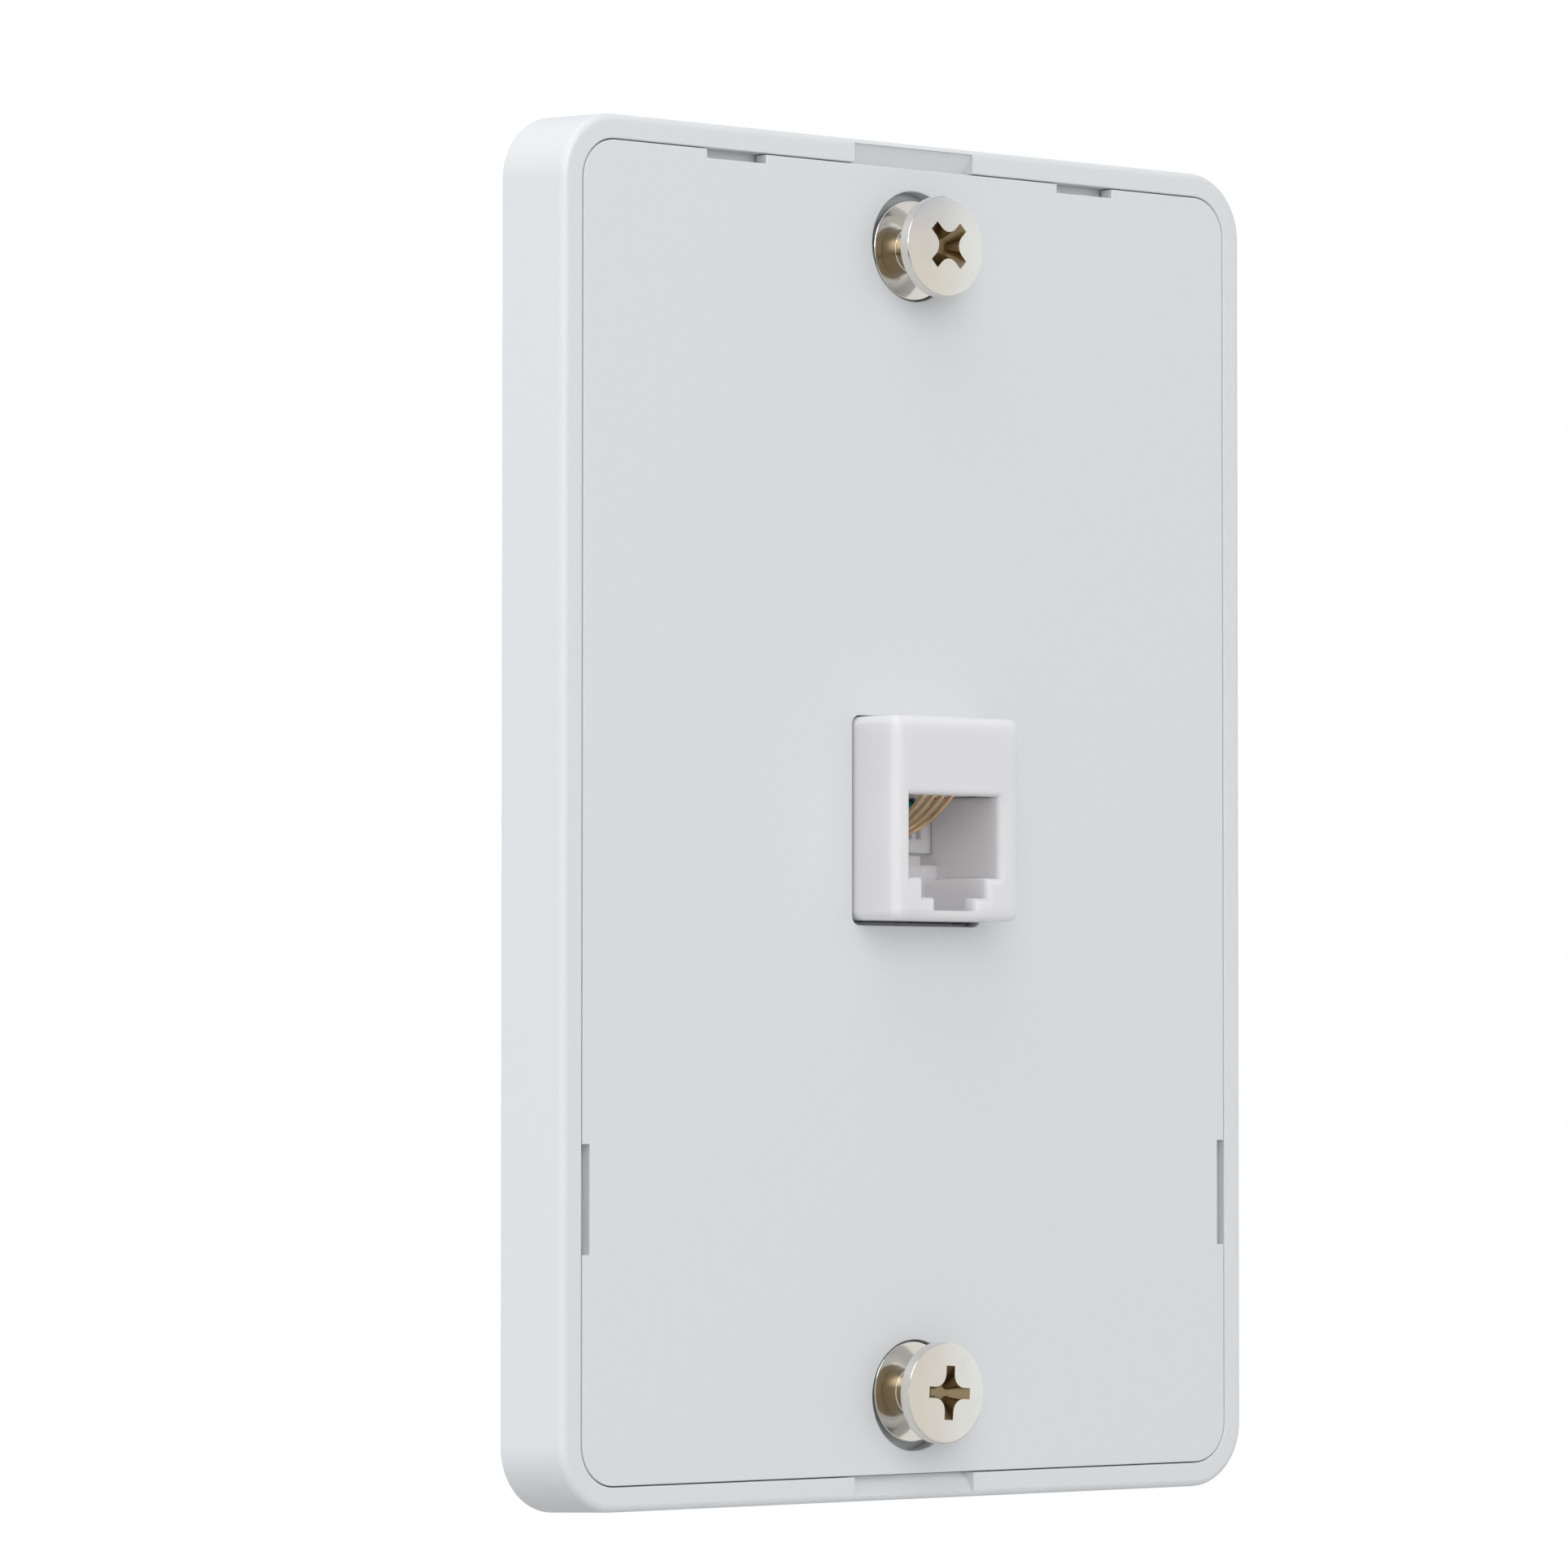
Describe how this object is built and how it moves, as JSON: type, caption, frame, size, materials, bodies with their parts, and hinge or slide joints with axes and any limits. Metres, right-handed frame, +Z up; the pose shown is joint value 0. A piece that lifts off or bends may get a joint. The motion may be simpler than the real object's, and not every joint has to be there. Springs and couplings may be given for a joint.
{
  "type": "wall phone jack plate",
  "caption": "Surface wall plate with a snap-in front panel, keyhole studs that carry a wall telephone, and a raised modular line jack wired to screw terminals at the back.",
  "frame": {"origin": "on the wall plane, midway between the studs and the sides: the centre of the plate's back", "axes": "+Z up along the plate's long side, +Y into the wall, +X to the right seen from the front; the front faces -Y"},
  "size_m": [0.0768, 0.0179, 0.115],
  "materials": {
    "white_plastic": "fine matt moulded texture",
    "white_jack_plastic": "satin moulded",
    "gold_plated_wire": "gold over nickel, polished",
    "nickel_plated_steel": "bright nickel plate",
    "tinned_copper": "tin plate",
    "brass": "machined",
    "black_insulation": "satin",
    "red_insulation": "satin",
    "green_insulation": "satin",
    "yellow_insulation": "satin"
  },
  "bodies": {
    "base": {"base_frame": "white_plastic", "jack_housing": "white_jack_plastic", "contact_carrier": "white_jack_plastic", "crimp_splices": "tinned_copper", "terminal_inserts": "brass", "top_stud_nut": "brass", "bottom_stud_nut": "brass", "contact_wire_black": "gold_plated_wire", "lead_black": "black_insulation", "fork_lug_black": "tinned_copper", "contact_wire_red": "gold_plated_wire", "lead_red": "red_insulation", "fork_lug_red": "tinned_copper", "contact_wire_green": "gold_plated_wire", "lead_green": "green_insulation", "fork_lug_green": "tinned_copper", "contact_wire_yellow": "gold_plated_wire", "lead_yellow": "yellow_insulation", "fork_lug_yellow": "tinned_copper"},
    "panel": {"front_panel": "white_plastic", "panel_catches": "white_plastic"},
    "top_stud_sleeve": {"top_stud_spacer": "nickel_plated_steel"},
    "top_stud": {"top_stud_screw": "nickel_plated_steel"},
    "bottom_stud_sleeve": {"bottom_stud_spacer": "nickel_plated_steel"},
    "bottom_stud": {"bottom_stud_screw": "nickel_plated_steel"},
    "contact_black": {"contact_spring_black": "gold_plated_wire"},
    "contact_red": {"contact_spring_red": "gold_plated_wire"},
    "contact_green": {"contact_spring_green": "gold_plated_wire"},
    "contact_yellow": {"contact_spring_yellow": "gold_plated_wire"},
    "terminal_clamp_black": {"terminal_washer_black": "nickel_plated_steel"},
    "terminal_black": {"terminal_screw_black": "brass"},
    "terminal_clamp_red": {"terminal_washer_red": "nickel_plated_steel"},
    "terminal_red": {"terminal_screw_red": "brass"},
    "terminal_clamp_green": {"terminal_washer_green": "nickel_plated_steel"},
    "terminal_green": {"terminal_screw_green": "brass"},
    "terminal_clamp_yellow": {"terminal_washer_yellow": "nickel_plated_steel"},
    "terminal_yellow": {"terminal_screw_yellow": "brass"}
  },
  "joints": [
    {"name": "panel_lift", "type": "slide", "parent": "base", "child": "panel", "axis": [0, -1, 0], "range_m": [0, 0.03], "deforming": ["panel_catches"]},
    {"name": "top_stud_travel", "type": "slide", "parent": "base", "child": "top_stud_sleeve", "axis": [0, -1, 0], "range_m": [0, 0.0019]},
    {"name": "top_stud_turn", "type": "hinge", "parent": "top_stud_sleeve", "child": "top_stud", "pos_m": [0, -0.0112, 0.04815], "axis": [0, -1, 0], "range_deg": [0, 1080]},
    {"name": "bottom_stud_travel", "type": "slide", "parent": "base", "child": "bottom_stud_sleeve", "axis": [0, -1, 0], "range_m": [0, 0.0019]},
    {"name": "bottom_stud_turn", "type": "hinge", "parent": "bottom_stud_sleeve", "child": "bottom_stud", "pos_m": [0, -0.0112, -0.04815], "axis": [0, -1, 0], "range_deg": [0, 1080]},
    {"name": "contact_flex_black", "type": "hinge", "parent": "base", "child": "contact_black", "pos_m": [-0.00153, -0.01, 0.0026], "axis": [1, 0, 0], "range_deg": [0, 17], "stiffness_Nm_per_rad": 0.02},
    {"name": "contact_flex_red", "type": "hinge", "parent": "base", "child": "contact_red", "pos_m": [-0.00051, -0.01, 0.0026], "axis": [1, 0, 0], "range_deg": [0, 17], "stiffness_Nm_per_rad": 0.02},
    {"name": "contact_flex_green", "type": "hinge", "parent": "base", "child": "contact_green", "pos_m": [0.00051, -0.01, 0.0026], "axis": [1, 0, 0], "range_deg": [0, 17], "stiffness_Nm_per_rad": 0.02},
    {"name": "contact_flex_yellow", "type": "hinge", "parent": "base", "child": "contact_yellow", "pos_m": [0.00153, -0.01, 0.0026], "axis": [1, 0, 0], "range_deg": [0, 17], "stiffness_Nm_per_rad": 0.02},
    {"name": "terminal_travel_black", "type": "slide", "parent": "base", "child": "terminal_clamp_black", "axis": [0, 1, 0], "range_m": [0, 0.00238]},
    {"name": "terminal_turn_black", "type": "hinge", "parent": "terminal_clamp_black", "child": "terminal_black", "pos_m": [-0.0165, 0.0022, 0.013], "axis": [0, 1, 0], "range_deg": [0, 1080]},
    {"name": "terminal_travel_red", "type": "slide", "parent": "base", "child": "terminal_clamp_red", "axis": [0, 1, 0], "range_m": [0, 0.00238]},
    {"name": "terminal_turn_red", "type": "hinge", "parent": "terminal_clamp_red", "child": "terminal_red", "pos_m": [-0.0165, 0.0022, -0.013], "axis": [0, 1, 0], "range_deg": [0, 1080]},
    {"name": "terminal_travel_green", "type": "slide", "parent": "base", "child": "terminal_clamp_green", "axis": [0, 1, 0], "range_m": [0, 0.00238]},
    {"name": "terminal_turn_green", "type": "hinge", "parent": "terminal_clamp_green", "child": "terminal_green", "pos_m": [0.0165, 0.0022, -0.013], "axis": [0, 1, 0], "range_deg": [0, 1080]},
    {"name": "terminal_travel_yellow", "type": "slide", "parent": "base", "child": "terminal_clamp_yellow", "axis": [0, 1, 0], "range_m": [0, 0.00238]},
    {"name": "terminal_turn_yellow", "type": "hinge", "parent": "terminal_clamp_yellow", "child": "terminal_yellow", "pos_m": [0.0165, 0.0022, 0.013], "axis": [0, 1, 0], "range_deg": [0, 1080]}
  ],
  "couplings": [
    {"joint": "top_stud_turn", "follows": "top_stud_travel", "rad_per_m": 9894.8},
    {"joint": "bottom_stud_turn", "follows": "bottom_stud_travel", "rad_per_m": 9894.8},
    {"joint": "terminal_turn_black", "follows": "terminal_travel_black", "rad_per_m": 7913.3},
    {"joint": "terminal_turn_red", "follows": "terminal_travel_red", "rad_per_m": 7913.3},
    {"joint": "terminal_turn_green", "follows": "terminal_travel_green", "rad_per_m": 7913.3},
    {"joint": "terminal_turn_yellow", "follows": "terminal_travel_yellow", "rad_per_m": 7913.3}
  ]
}
